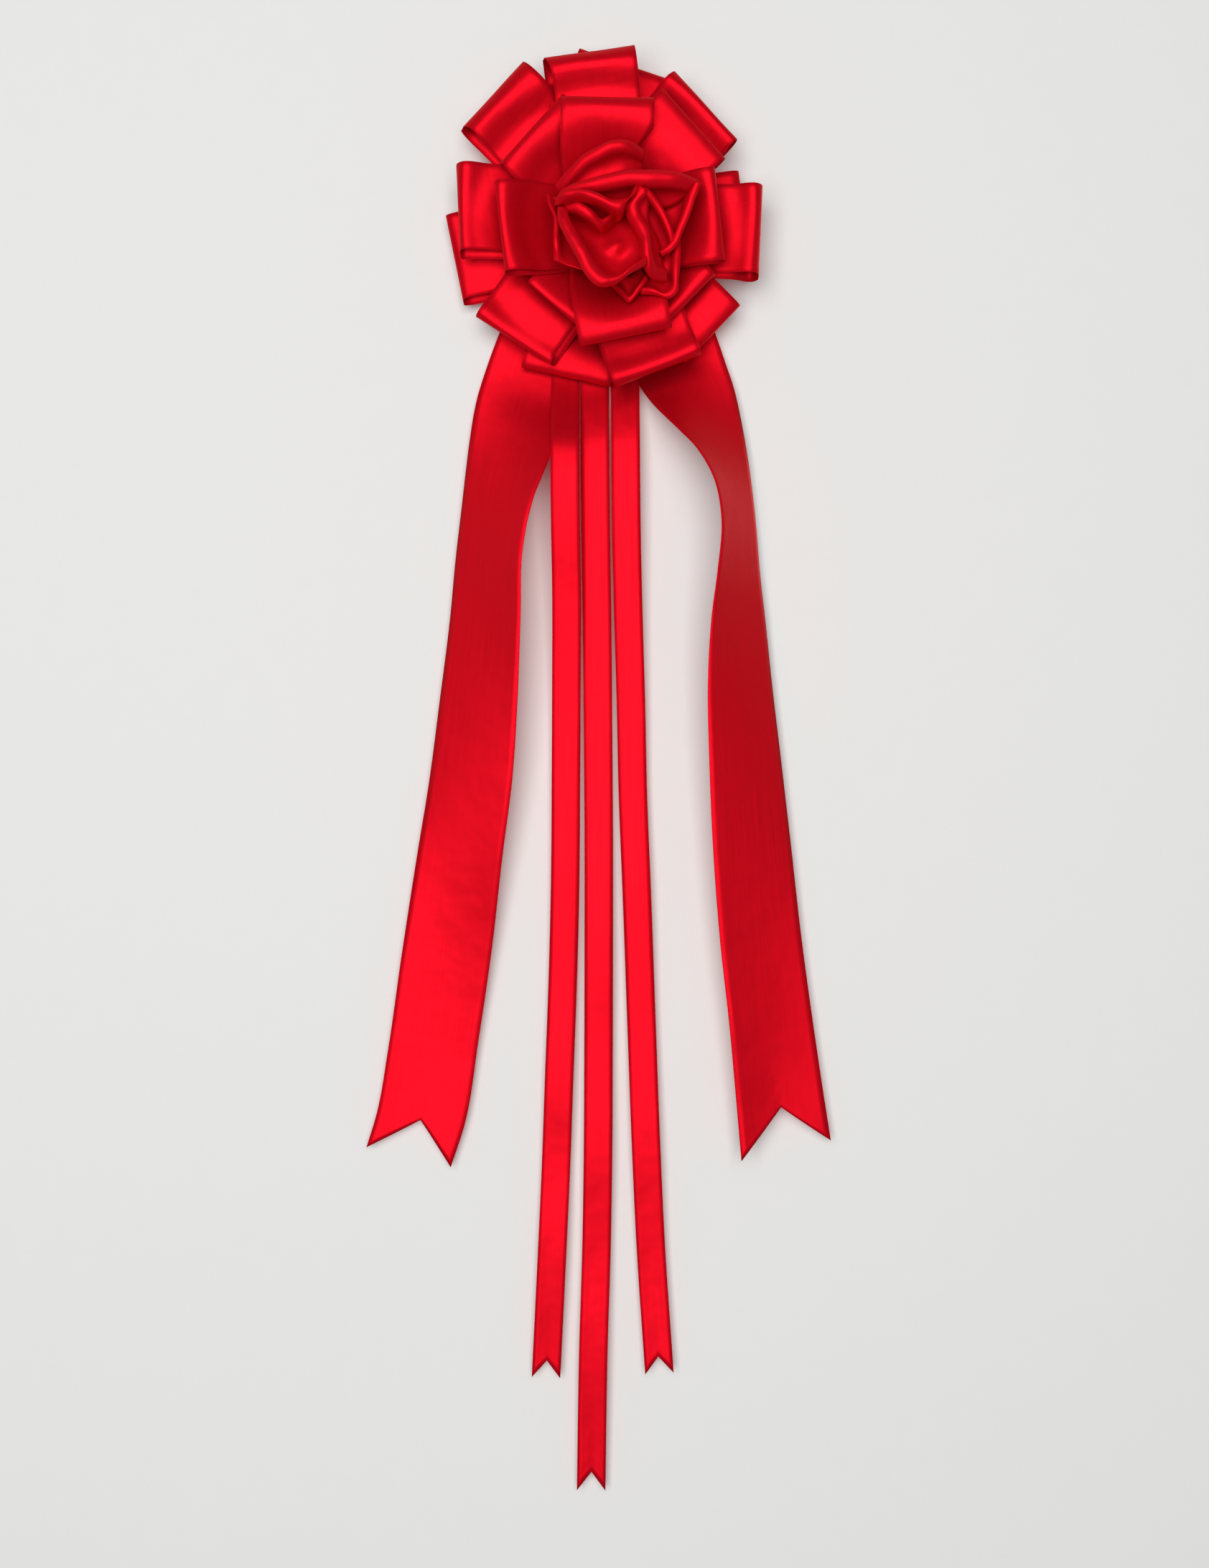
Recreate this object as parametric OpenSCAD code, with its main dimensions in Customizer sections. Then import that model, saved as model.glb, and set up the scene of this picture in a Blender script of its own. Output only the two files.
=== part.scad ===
// Hand-made ribbon bow: ten closed ribbon bands, a folded ribbon rose and five swallow-tailed tails on a card disc.
// The back of the felt lies in the plane y = 0, the front faces -Y, +Z is up, and the disc is centred on the Y axis.

/* [Ribbons] */
// Width of the wide ribbon
wide_w = 50; // [49:0.5:51]
// Width of the narrow ribbon
narrow_w = 15.5; // [14:0.5:15.5]
// Thickness of a tail strip
ribbon_t = 0.6; // [0.4:0.1:0.6]
// Thickness of one layer of a band
wall = 0.5; // [0.3:0.1:0.5]

/* [Backing] */
// Radius of the card disc
card_r = 38; // [34:1:38]
// Thickness of the card disc
card_t = 1.2; // [0.8:0.1:1.2]
// Radius of the felt cover
felt_r = 36; // [32:1:36]
// Thickness of the felt cover
felt_t = 1; // [0.6:0.1:1]

/* [Hanger plate] */
// Radius of the hole for a nail or hook
nail_r = 5; // [3:0.5:5]
// Width of metal left round the nail hole
plate_rim = 2.5; // [2:0.5:3]
// Thickness of the plate
plate_t = 1.4; // [1:0.1:1.4]

/* [Tail hinges] */
// Gap left between a tail and its fixed root
hinge_gap = 1.6; // [1.4:0.1:2]

/* [Hidden] */
// Heights are measured forward from the plane y = 0.
card_h = felt_t + 0.4;                  // back of the card, with the tab's rear leg behind it
card_front = card_h + card_t;
wide_left_h = card_front + 0.8;         // middle of each ribbon where it is glued down
wide_right_h = wide_left_h + 0.8;
narrow_h = wide_right_h + 0.8;
stack_h = narrow_h + 0.6;               // back of the lowest band
band_pitch = 1.7;                       // step from band to band at the centre
pinch_gap = 0.1;                        // air between a band's two layers at the centre
pinched = 2 * wall + pinch_gap;

// Each level holds two crossed bands: the lowest and highest point of their loops 60 mm out,
// and how far out the two start to open past each other.
LEVELS = [[5.6, 12.6, 52], [13.6, 20.6, 46], [21.6, 28.6, 52], [29.6, 36.6, 43], [37.6, 47, 43]];
flat_r = 14;                            // the bands lie flat on each other this far out
opening = 20;                           // distance over which the bands of one level open
cross_gap = 0.9;                        // half the gap between the two bands of one level

// A loop is [x, z] of the middle of its fold, the way it points, its rounding, and its extra depth in front and behind.
// A band is [name, level, place in its pair, loop, opposite loop].
BANDS = [
    ["band_rear_upright", 0, 0, [[9, 93.5], 71, 6, 0, 0], [[-22.5, -80], 257.5, 6, 0, 0]],
    ["band_rear_level", 0, 1, [[-84, -15.5], 191.5, 6, 0, 0], [[76.5, 9], 8, 6, 0, 0]],
    ["band_outer_falling", 1, 0, [[-63, 71.5], 137.5, 10, 8, 0], [[56, -60.5], 316.5, 8, 0, 0]],
    ["band_outer_rising", 1, 1, [[54.5, 66], 42.5, 10, 9, 0], [[-50.5, -62.5], 237.5, 9, 6, 0]],
    ["band_middle_level", 2, 0, [[-81, 7], 182.5, 12, 8, 7], [[84, -4.5], 357.5, 12, 8, 7]],
    ["band_middle_upright", 2, 1, [[-10, 93.5], 98, 12, 8, 5], [[28, -80.5], 291, 10, 7, 0]],
    ["band_inner_falling", 3, 0, [[-41, 50], 138, 7, 0, 0], [[41.5, -47], 316, 7, 0, 0]],
    ["band_inner_rising", 3, 1, [[47.5, 52.5], 41.5, 7, 0, 0], [[-24, -50], 228.5, 7, 0, 0]],
    ["band_front_level", 4, 0, [[-57.5, -6.5], 186.5, 9, 0, 0], [[61, 1], 6.5, 9, 0, 0]],
    ["band_front_upright", 4, 1, [[0.5, 64], 89, 9, 0, 0], [[10.5, -65], 282, 9, 0, 0]]
];
STEPS = 8;                              // rows of facets along a loop's straight part
TURNS = 3;                              // rows of facets round half a fold
COLS = 6;                               // columns of facets across a band

// A wide tail is a list of rows [x, z, height] of its outer edge, then of its inner edge.
WIDE_LEFT_ROOT = [
    [[-38, -8, wide_left_h], [8, -28, wide_left_h]], [[-56, -46, wide_left_h], [-9, -64, wide_left_h]],
    [[-66, -72, 3.5], [-18, -84, 3.6]], [[-72, -92, 5], [-23, -98, 7.5]], [[-76, -116, 6.5], [-28, -117, 21]]
];
WIDE_LEFT_HINGE = [[-77.6, -129, 7], [-32.4, -131, 29]];
WIDE_LEFT_FALL = [
    [[-80, -150, 7], [-39.5, -150, 36]], [[-83.5, -180, 7], [-45.5, -180, 39.5]],
    [[-86.5, -212, 7], [-46.5, -212, 37]], [[-92.5, -260, 7], [-48.5, -260, 31]],
    [[-98, -302, 7], [-51.5, -302, 26]], [[-105, -345, 7], [-57, -343, 20]],
    [[-113.5, -400, 7], [-63.5, -396, 11]], [[-121, -452, 6.5], [-71, -446, 6.5]],
    [[-127.5, -488, 6], [-79, -494, 6]], [[-133, -506, 6], [-86.5, -517, 6]]
];
WIDE_LEFT_NOTCH = [-104, -489, 6];
WIDE_RIGHT_ROOT = [
    [[38, -8, wide_right_h], [-8, -28, wide_right_h]], [[56, -44, wide_right_h], [11, -66, wide_right_h]],
    [[62, -60, 4.6], [18, -83, 4.4]], [[66, -72, 5.2], [22, -91, 13]], [[70, -84, 6], [27.5, -100, 25]],
    [[74.5, -104, 6.5], [38, -113, 39]]
];
WIDE_RIGHT_HINGE = [[78, -124, 7], [48.5, -125.5, 47]];
WIDE_RIGHT_FALL = [
    [[80.5, -142, 7], [57.5, -143, 51.5]], [[82.5, -160, 7], [61, -162, 52]],
    [[85, -190, 7], [59, -192, 50]], [[87.5, -212, 7], [56.5, -212, 46.5]],
    [[91.5, -250, 7], [54.5, -250, 40.5]], [[96.5, -292, 7], [55.5, -292, 35.5]],
    [[101.5, -335, 7], [57.5, -335, 31]], [[108, -392, 7], [62, -392, 26.5]],
    [[114, -436, 7], [67, -436, 24]], [[119, -470, 7], [71, -478, 20]], [[124, -502, 7], [74, -511.5, 18]]
];
WIDE_RIGHT_NOTCH = [96, -482, 13];

// A narrow tail is a list of points [x, z, height] of its middle line, from its root to its end.
NARROW_LEFT_ROOT = [[-22.7, -14, narrow_h], [-22.7, -60, narrow_h], [-22.7, -80, narrow_h],
    [-22.7, -92, 10.5], [-22.7, -105, 18.5], [-22.7, -118, 26]];
NARROW_LEFT_HINGE = [-22.7, -130, 28];
NARROW_LEFT_FALL = [[-22.5, -160, 26], [-22, -200, 18.5], [-22.2, -250, 11.5], [-22.5, -300, 8],
    [-23, -360, 7], [-24.4, -416, 6], [-26.4, -470, 7.5], [-28, -515, 6], [-30, -560, 7.5], [-33.6, -633.5, 6]];
NARROW_MIDDLE_ROOT = [[-6.6, -14, narrow_h], [-6.6, -60, narrow_h], [-6.6, -85, narrow_h],
    [-6.6, -97, 9], [-6.5, -113, 13.5]];
NARROW_MIDDLE_HINGE = [-6.4, -130, 15];
NARROW_MIDDLE_FALL = [[-6, -165, 13.5], [-5.2, -220, 9.5], [-4.8, -270, 7], [-4.4, -330, 6], [-4.4, -400, 7.5],
    [-4.5, -450, 6], [-4.8, -510, 7.5], [-5.6, -560, 6], [-7.4, -620, 7.5], [-8.6, -696, 6]];
NARROW_RIGHT_ROOT = [[10.3, -14, narrow_h], [10.3, -60, narrow_h], [10.3, -86, narrow_h],
    [10.3, -98, 8.5], [10.4, -113, 12]];
NARROW_RIGHT_HINGE = [10.5, -130, 13];
NARROW_RIGHT_FALL = [[10.9, -165, 12], [11.8, -205, 9.5], [13.4, -259, 7], [14.6, -313, 6], [16.6, -363, 7],
    [19.2, -434, 6], [21.8, -505, 7.5], [24.4, -560, 6], [29.2, -631, 7]];
notch = 9;                              // depth of a narrow tail's cut

// The rose turns round its own centre. A petal is [name, first and last angle, foot radius, side and corner
// radius of its rim, foot height, side and corner height of its rim].
ROSE = [8.5, -9.5];
rose_foot = 30.2;
PETALS = [
    ["rose_inner_petal", [-70, 110], 7, [13, 16], [62, 70]],
    ["rose_front_petal", [160, 285], 9, [27, 31], [62, 70]],
    ["rose_upper_petal", [15, 150], 9, [24, 32], [60, 66]],
    ["rose_back_petal", [95, 172], 12, [30, 37], [48, 54]],
    ["rose_left_petal", [177, 225], 12, [32, 40], [47, 52]],
    ["rose_bottom_petal", [250, 282], 12, [26, 37], [44, 52]],
    ["rose_lower_petal", [288, 335], 12, [32, 41], [47, 53]],
    ["rose_right_petal", [340, 390], 12, [34, 43], [50, 56]]
];
ARC = 6;                                // facets across a petal
RISE = 3;                               // facets up a petal

// The hanger plate turns on the bar below its slot, inside the tab's fold.
bar_h = 2.2;
bar_z = 42;
bar_w = 2.2;
slot_w = 6.4;
slot_h = 3;
slot_top_z = bar_z + bar_w / 2 + slot_h;
nail_z = slot_top_z + 2 + nail_r;
tab_w = 5;
tab_t = 0.4;
tab_fold_r = 1.7;
tab_foot_z = 28;

glue_gap = 0.02;                        // glue stops this far short of what it holds

satin = "crimson";

// ---- helpers ----
function mix(a, b, t) = a + (b - a) * t;
function ramp(v, from, to) = let (t = min(1, max(0, (v - from) / (to - from)))) t * t * (3 - 2 * t);
function unit(v) = v / norm(v);
function side_of(v) = [-v[1], v[0]];
function last(list) = list[len(list) - 1];
function fwd(p) = [p[0], -p[2], p[1]];  // [x, z, height] to a point in space
function flat(lists) = [for (l = lists) for (v = l) v];

// Turns a grid of front and back points, rows by columns, into one closed sheet.
module sheet(front, back) {
    rows = len(front);
    cols = len(front[0]);
    base = rows * cols;
    faces = flat([
        flat([for (i = [0:rows - 2]) flat([for (j = [0:cols - 2]) let (a = i * cols + j, b = a + cols) [
            [a, a + 1, b + 1], [a, b + 1, b],
            [base + a, base + b + 1, base + a + 1], [base + a, base + b, base + b + 1]]])]),
        flat([for (i = [0:rows - 2]) let (a = i * cols, b = a + cols, c = a + cols - 1, d = c + cols) [
            [a, b, base + b], [a, base + b, base + a], [c, base + d, d], [c, base + c, base + d]]]),
        flat([for (j = [0:cols - 2]) let (a = j, b = (rows - 1) * cols + j) [
            [a, base + a + 1, a + 1], [a, base + a, base + a + 1],
            [b, b + 1, base + b + 1], [b, base + b + 1, base + b]]])
    ]);
    polyhedron(points = concat(flat(front), flat(back)), faces = faces, convexity = 8);
}

// ---- bands ----
function root_low(level, pair) = stack_h + (2 * level + pair) * band_pitch;
function level_mid(level) = (LEVELS[level][0] + LEVELS[level][1]) / 2;
// The two bands of a level cross near the centre, share its height further out, and open up past their neighbours.
function band_low(level, pair, r, more) = let (g = ramp(r, flat_r, 60), low = LEVELS[level][0],
    open = ramp(r, LEVELS[level][2], LEVELS[level][2] + opening))
    mix(mix(root_low(level, pair), low + pair * (level_mid(level) + cross_gap - low), g),
        low, pair * open) - more * ramp(r, 74, 86);
function band_high(level, pair, r, more) = let (g = ramp(r, flat_r, 60), high = LEVELS[level][1],
    open = ramp(r, LEVELS[level][2], LEVELS[level][2] + opening))
    mix(mix(root_low(level, pair) + pinched, high + (1 - pair) * (level_mid(level) - cross_gap - high), g),
        high, (1 - pair) * open) + more * ramp(r, 70, 88);

// A point of a loop: k rows from the centre, w across it, on its front (face 1) or back (face -1), inset in its wall.
function loop_point(band, loop, turn, k, w, face, inset) = let (
    mid = loop[0], reach = norm(mid), len_in = reach - inset, round_in = loop[2] - inset,
    angle = 90 * max(0, k - STEPS) / TURNS,
    s = k <= STEPS ? (len_in - round_in) * k / STEPS : len_in - round_in + round_in * sin(angle),
    part = s / reach, way = [cos(loop[1]), sin(loop[1])], axis = unit(band[3][0] - band[4][0]),
    line = 2 * part * (1 - part) * (mid - way * reach / 2) + part * part * mid,
    across = unit(mix(side_of(axis), turn * side_of(way), part)),
    plan = line + across * w, r = norm(plan),
    low = band_low(band[1], band[2], r, loop[4]), high = band_high(band[1], band[2], r, loop[3])
) fwd([plan[0], plan[1], (low + high) / 2 + face * ((high - low) / 2 - inset) * cos(angle)]);

function band_ring(band, w, inset) = let (n = STEPS + TURNS) concat(
    [for (k = [n:-1:0]) loop_point(band, band[3], 1, k, w, 1, inset)],
    [for (k = [1:n]) loop_point(band, band[4], -1, k, w, 1, inset)],
    [for (k = [n - 1:-1:0]) loop_point(band, band[4], -1, k, w, -1, inset)],
    [for (k = [1:n - 1]) loop_point(band, band[3], 1, k, w, -1, inset)]);

module band(name) {
    b = BANDS[search([name], BANDS)[0]];
    ring = 4 * (STEPS + TURNS);
    cols = COLS + 1;
    points = flat([for (inset = [0, wall], j = [0:COLS]) band_ring(b, wide_w * (j / COLS - 0.5), inset)]);
    inner = cols * ring;
    faces = concat(
        flat([for (j = [0:COLS - 1], i = [0:ring - 1]) let (
            a = j * ring + i, b = j * ring + (i + 1) % ring, c = a + ring, d = b + ring) [
            [a, b, d], [a, d, c], [inner + a, inner + d, inner + b], [inner + a, inner + c, inner + d]]]),
        flat([for (i = [0:ring - 1]) let (n = (i + 1) % ring, e = COLS * ring) [
            [i, inner + n, n], [i, inner + i, inner + n],
            [e + i, e + n, inner + e + n], [e + i, inner + e + n, inner + e + i]]]));
    color(satin) polyhedron(points = points, faces = faces, convexity = 8);
}

// ---- tails ----
// Rows of a strip's left edge, middle and right edge, thickened both ways along its own normal.
function row_normal(rows, i) = let (
    along = last(rows[min(i + 1, len(rows) - 1)]) - last(rows[max(i - 1, 0)])
        + rows[min(i + 1, len(rows) - 1)][0] - rows[max(i - 1, 0)][0],
    n = unit(cross(last(rows[i]) - rows[i][0], along))) n[1] < 0 ? n : -n;

module strip(rows, middle_end) {
    n = len(rows);
    lines = [for (i = [0:n - 1]) let (a = fwd(rows[i][0]), c = fwd(rows[i][1]))
        [a, i == n - 1 && middle_end != undef ? fwd(middle_end) : (a + c) / 2, c]];
    normals = [for (i = [0:n - 1]) row_normal(lines, i) * ribbon_t / 2];
    sheet([for (i = [0:n - 1]) [for (p = lines[i]) p + normals[i]]],
          [for (i = [0:n - 1]) [for (p = lines[i]) p - normals[i]]]);
}

// The rows on each side of a hinge line stop half the gap away from it.
function row_towards(line, row) = [for (e = [0, 1]) line[e] + unit(row[e] - line[e]) * hinge_gap / 2];
function before(rows, line) = concat(rows, [row_towards(line, last(rows))]);
function after(rows, line) = concat([row_towards(line, rows[0])], rows);

// A narrow tail's rows, set square to its middle line, from the left edge to the right.
function narrow_row(line, i) = let (
    along = line[min(i + 1, len(line) - 1)] - line[max(i - 1, 0)],
    across = unit([-along[1], along[0], 0]) * narrow_w / 2) [line[i] - across, line[i] + across];
function narrow_rows(root, hinge, fall) = let (line = concat(root, [hinge], fall))
    [for (i = [0:len(line) - 1]) narrow_row(line, i)];
function head_of(rows, count) = [for (i = [0:count - 1]) rows[i]];
function rest_of(rows, count) = [for (i = [count:len(rows) - 1]) rows[i]];
function notch_point(line) = last(line) + unit(line[len(line) - 2] - last(line)) * notch;

module wide_root(root, hinge) { color(satin) strip(before(root, hinge)); }
module wide_fall(fall, hinge, cut) { color(satin) strip(after(fall, hinge), cut); }
module narrow_root(root, hinge, fall) {
    rows = narrow_rows(root, hinge, fall);
    color(satin) strip(before(head_of(rows, len(root)), rows[len(root)]));
}
module narrow_fall(root, hinge, fall) {
    rows = narrow_rows(root, hinge, fall);
    color(satin) strip(after(rest_of(rows, len(root) + 1), rows[len(root)]), notch_point(fall));
}

// ---- rose ----
function rose_point(angle, radius, height) = fwd([ROSE[0] + radius * cos(angle), ROSE[1] + radius * sin(angle), height]);

module petal(name) {
    p = PETALS[search([name], PETALS)[0]];
    petal_t = 0.8;
    function at(i, j, shift) = let (
        u = i / ARC, v = j / RISE, peak = 1 - abs(2 * u - 1), radius = mix(p[2], mix(p[3][0], p[3][1], peak), v),
        height = mix(rose_foot, mix(p[4][0], p[4][1], peak), v))
        rose_point(mix(p[1][0], p[1][1], u), radius + shift, height);
    color(satin) sheet([for (i = [0:ARC]) [for (j = [0:RISE]) at(i, j, 0)]],
                       [for (i = [0:ARC]) [for (j = [0:RISE]) at(i, j, petal_t)]]);
}

module rose_bud() {
    color(satin) translate([ROSE[0], 0, ROSE[1]]) rotate([90, 0, 0])
        rotate_extrude($fn = 32)
            polygon([[0, rose_foot], [4.5, rose_foot], [5.5, 42], [5.5, 56], [4, 64], [1.5, 67], [0, 67]]);
}

// ---- backing, hanger and glue ----
module disc(radius, from, to) { rotate([90, 0, 0]) translate([0, 0, from]) cylinder(r = radius, h = to - from, $fn = 96); }

module felt_back() { color("firebrick") disc(felt_r, 0, felt_t); }

module backing_card() { color("linen") disc(card_r, card_h, card_front); }

// The tab's profile runs up the card's front, over the plate's bar and down between the card and the felt.
module hanging_tab() {
    outer = tab_fold_r + tab_t;
    bend_z = card_r + 0.8;
    function arc(radius, from, step) = [for (i = [0:12]) let (a = from + i * step)
        [-bar_h + radius * cos(a), bar_z + radius * sin(a)]];
    profile = concat(
        [[-card_front - tab_t, tab_foot_z], [-card_front - tab_t, card_r - 1], [-bar_h - outer, bend_z]],
        arc(outer, 180, -15),
        [[-bar_h + outer, bend_z], [-felt_t, felt_r + 0.5], [-felt_t, tab_foot_z], [-card_h, tab_foot_z],
            [-card_h, card_r - 0.5], [-bar_h + tab_fold_r, bend_z]],
        arc(tab_fold_r, 0, 15),
        [[-bar_h - tab_fold_r, bend_z], [-card_front, card_r - 1], [-card_front, tab_foot_z]]);
    color(satin) translate([-tab_w / 2, 0, 0]) rotate([90, 0, 90]) linear_extrude(tab_w) polygon(profile);
}

module hanger_plate() {
    foot_w = slot_w / 2 + bar_w;
    foot_z = bar_z - bar_w / 2;
    color("silver") translate([0, plate_t / 2 - bar_h, 0]) rotate([90, 0, 0]) difference() {
        union() {
            translate([0, nail_z, 0]) cylinder(r = nail_r + plate_rim, h = plate_t, $fn = 96);
            linear_extrude(plate_t) polygon([[-foot_w, foot_z], [foot_w, foot_z],
                [nail_r + plate_rim - 0.1, nail_z - 1], [-nail_r - plate_rim + 0.1, nail_z - 1]]);
        }
        translate([0, nail_z, -1]) cylinder(r = nail_r, h = plate_t + 2, $fn = 96);
        translate([-slot_w / 2, bar_z + bar_w / 2, -1]) cube([slot_w, slot_h, plate_t + 2]);
    }
}

module glue_drop(x, z, radius, from, to) {
    color("ivory") translate([x, 0, z]) disc(radius, from + glue_gap, to - glue_gap);
}

module card_glue() {
    for (p = [[-9, 16], [13, 12], [5, 25]]) glue_drop(p[0], p[1], 3, card_front, stack_h);
}

module tail_glue() {
    glue_drop(-20, -26, 5, card_front, wide_left_h - ribbon_t / 2);
    glue_drop(0, -27, 3, wide_left_h + ribbon_t / 2, wide_right_h - ribbon_t / 2);
    glue_drop(10, -24, 4, wide_right_h + ribbon_t / 2, narrow_h - ribbon_t / 2);
    for (x = [-22.5, -6.5, 10.5]) glue_drop(x, -24, 2.5, narrow_h + ribbon_t / 2, stack_h);
}

module stack_glue() {
    for (i = [1:9]) glue_drop(0, 0, 4, stack_h + (i - 1) * band_pitch + pinched, stack_h + i * band_pitch);
}

module rose_glue() {
    foot_r = 6;
    mound_r = 15;
    stack_front = root_low(4, 1) + pinched;
    color("ivory") rotate([90, 0, 0]) rotate_extrude($fn = 64)
        polygon([[0, stack_front], [foot_r, stack_front], [mound_r, stack_front + 2],
            [mound_r, rose_foot - 0.2], [0, rose_foot - 0.2]]);
}

felt_back();
backing_card();
hanging_tab();
hanger_plate();
card_glue();
tail_glue();
stack_glue();
rose_glue();
band("band_rear_upright");  // band_rear_upright
band("band_rear_level");  // band_rear_level
band("band_outer_falling");  // band_outer_falling
band("band_outer_rising");  // band_outer_rising
band("band_middle_level");  // band_middle_level
band("band_middle_upright");  // band_middle_upright
band("band_inner_falling");  // band_inner_falling
band("band_inner_rising");  // band_inner_rising
band("band_front_level");  // band_front_level
band("band_front_upright");  // band_front_upright
rose_bud();
petal("rose_inner_petal");  // rose_inner_petal
petal("rose_front_petal");  // rose_front_petal
petal("rose_upper_petal");  // rose_upper_petal
petal("rose_back_petal");  // rose_back_petal
petal("rose_left_petal");  // rose_left_petal
petal("rose_bottom_petal");  // rose_bottom_petal
petal("rose_lower_petal");  // rose_lower_petal
petal("rose_right_petal");  // rose_right_petal
wide_root(WIDE_LEFT_ROOT, WIDE_LEFT_HINGE);  // wide_tail_left_root
wide_fall(WIDE_LEFT_FALL, WIDE_LEFT_HINGE, WIDE_LEFT_NOTCH);  // wide_tail_left
wide_root(WIDE_RIGHT_ROOT, WIDE_RIGHT_HINGE);  // wide_tail_right_root
wide_fall(WIDE_RIGHT_FALL, WIDE_RIGHT_HINGE, WIDE_RIGHT_NOTCH);  // wide_tail_right
narrow_root(NARROW_LEFT_ROOT, NARROW_LEFT_HINGE, NARROW_LEFT_FALL);  // narrow_tail_left_root
narrow_fall(NARROW_LEFT_ROOT, NARROW_LEFT_HINGE, NARROW_LEFT_FALL);  // narrow_tail_left
narrow_root(NARROW_MIDDLE_ROOT, NARROW_MIDDLE_HINGE, NARROW_MIDDLE_FALL);  // narrow_tail_middle_root
narrow_fall(NARROW_MIDDLE_ROOT, NARROW_MIDDLE_HINGE, NARROW_MIDDLE_FALL);  // narrow_tail_middle
narrow_root(NARROW_RIGHT_ROOT, NARROW_RIGHT_HINGE, NARROW_RIGHT_FALL);  // narrow_tail_right_root
narrow_fall(NARROW_RIGHT_ROOT, NARROW_RIGHT_HINGE, NARROW_RIGHT_FALL);  // narrow_tail_right
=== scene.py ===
# %% [markdown]
# # A pull-free gift bow in red satin ribbon
# The bow is ten closed bands of wide ribbon glued in a stack, a folded ribbon rose on top of them,
# and five tails that hang from under the stack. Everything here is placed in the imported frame, in metres,
# so a piece needs no fitting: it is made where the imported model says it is.

# %% Load the frame
import bpy
import math
import numpy as np
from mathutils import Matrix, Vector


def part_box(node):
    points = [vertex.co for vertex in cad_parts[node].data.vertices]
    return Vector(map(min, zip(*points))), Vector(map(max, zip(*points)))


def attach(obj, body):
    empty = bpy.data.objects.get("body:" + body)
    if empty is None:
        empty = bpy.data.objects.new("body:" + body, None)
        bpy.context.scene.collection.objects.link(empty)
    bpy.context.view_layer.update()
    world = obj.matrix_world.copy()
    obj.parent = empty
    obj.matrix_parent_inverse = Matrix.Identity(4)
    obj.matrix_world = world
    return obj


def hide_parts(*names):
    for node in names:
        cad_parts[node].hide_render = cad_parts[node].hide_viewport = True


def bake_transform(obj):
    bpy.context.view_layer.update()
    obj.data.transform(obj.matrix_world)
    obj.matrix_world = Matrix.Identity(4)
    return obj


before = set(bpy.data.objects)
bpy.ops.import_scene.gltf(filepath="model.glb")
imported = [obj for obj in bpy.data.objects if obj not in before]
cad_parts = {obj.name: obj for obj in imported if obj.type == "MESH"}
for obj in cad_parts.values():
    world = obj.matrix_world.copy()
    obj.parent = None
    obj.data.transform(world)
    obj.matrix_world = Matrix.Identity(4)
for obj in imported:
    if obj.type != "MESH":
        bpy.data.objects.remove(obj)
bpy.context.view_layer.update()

# %% [markdown]
# Lengths below are written in millimetres, as a maker measures ribbon, and turned into metres once, when a
# mesh is made. A place on the bow is [across, up, out from the wall].

# %% Ribbon sizes and small helpers
MM = 0.001
WIDE = 50.0
NARROW = 15.5
CLOTH = 0.3
SELVEDGE = 0.17
GATHERED = 0.84
WALL_INSET = 0.25


def mix(a, b, t):
    return a + (b - a) * t


def ramp(v, start, end):
    t = np.clip((v - start) / (end - start), 0, 1)
    return t * t * (3 - 2 * t)


def unit(v):
    return v / np.linalg.norm(v)


def side_of(v):
    return np.array([-v[1], v[0]])


def to_space(grid):
    """[across, up, out] in millimetres becomes a place in the frame, in metres."""
    grid = np.asarray(grid, float)
    return np.stack([grid[..., 0], -grid[..., 2], grid[..., 1]], -1) * MM


print("wide ribbon", WIDE, "mm, narrow ribbon", NARROW, "mm")

# %% [markdown]
# Satin shows three things: fine warp threads that run along the ribbon, faint lengthwise streaks where some
# threads took more dye, and soft waves in the cloth. One shader group makes all three from a ribbon's own UV
# map, which holds millimetres across and along, so the pattern bends with the cloth. A picture of the weave
# would also work, but it would blur close up and repeat along a long tail.

# %% Node group: satin weave
def wire(tree, *pairs):
    for source, target in pairs:
        tree.links.new(source, target)


def math_node(tree, kind, a, b=None):
    node = tree.nodes.new("ShaderNodeMath")
    node.operation = kind
    for socket, value in zip(node.inputs, (a, b)):
        if value is None:
            continue
        if isinstance(value, (int, float)):
            socket.default_value = value
        else:
            tree.links.new(value, socket)
    return node.outputs[0]


def new_group(name, inputs, outputs):
    tree = bpy.data.node_groups.new(name, "ShaderNodeTree")
    for label, kind, value in inputs:
        socket = tree.interface.new_socket(label, in_out="INPUT", socket_type=kind)
        if value is not None:
            socket.default_value = value
    for label, kind in outputs:
        tree.interface.new_socket(label, in_out="OUTPUT", socket_type=kind)
    return tree, tree.nodes.new("NodeGroupInput"), tree.nodes.new("NodeGroupOutput")


def noise(tree, vector, scale, detail=3.0):
    node = tree.nodes.new("ShaderNodeTexNoise")
    node.inputs["Scale"].default_value = scale
    node.inputs["Detail"].default_value = detail
    tree.links.new(vector, node.inputs["Vector"])
    return node.outputs["Fac"]


THREAD_DEPTH = 0.012
STREAK_DEPTH = 0.05
STREAKS_ACROSS = 0.8
STREAKS_ALONG = 0.02
WAVE_SCALE = 0.045
SATIN_ROUGHNESS = 0.5
STREAK_ROUGHNESS = 0.2


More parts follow.
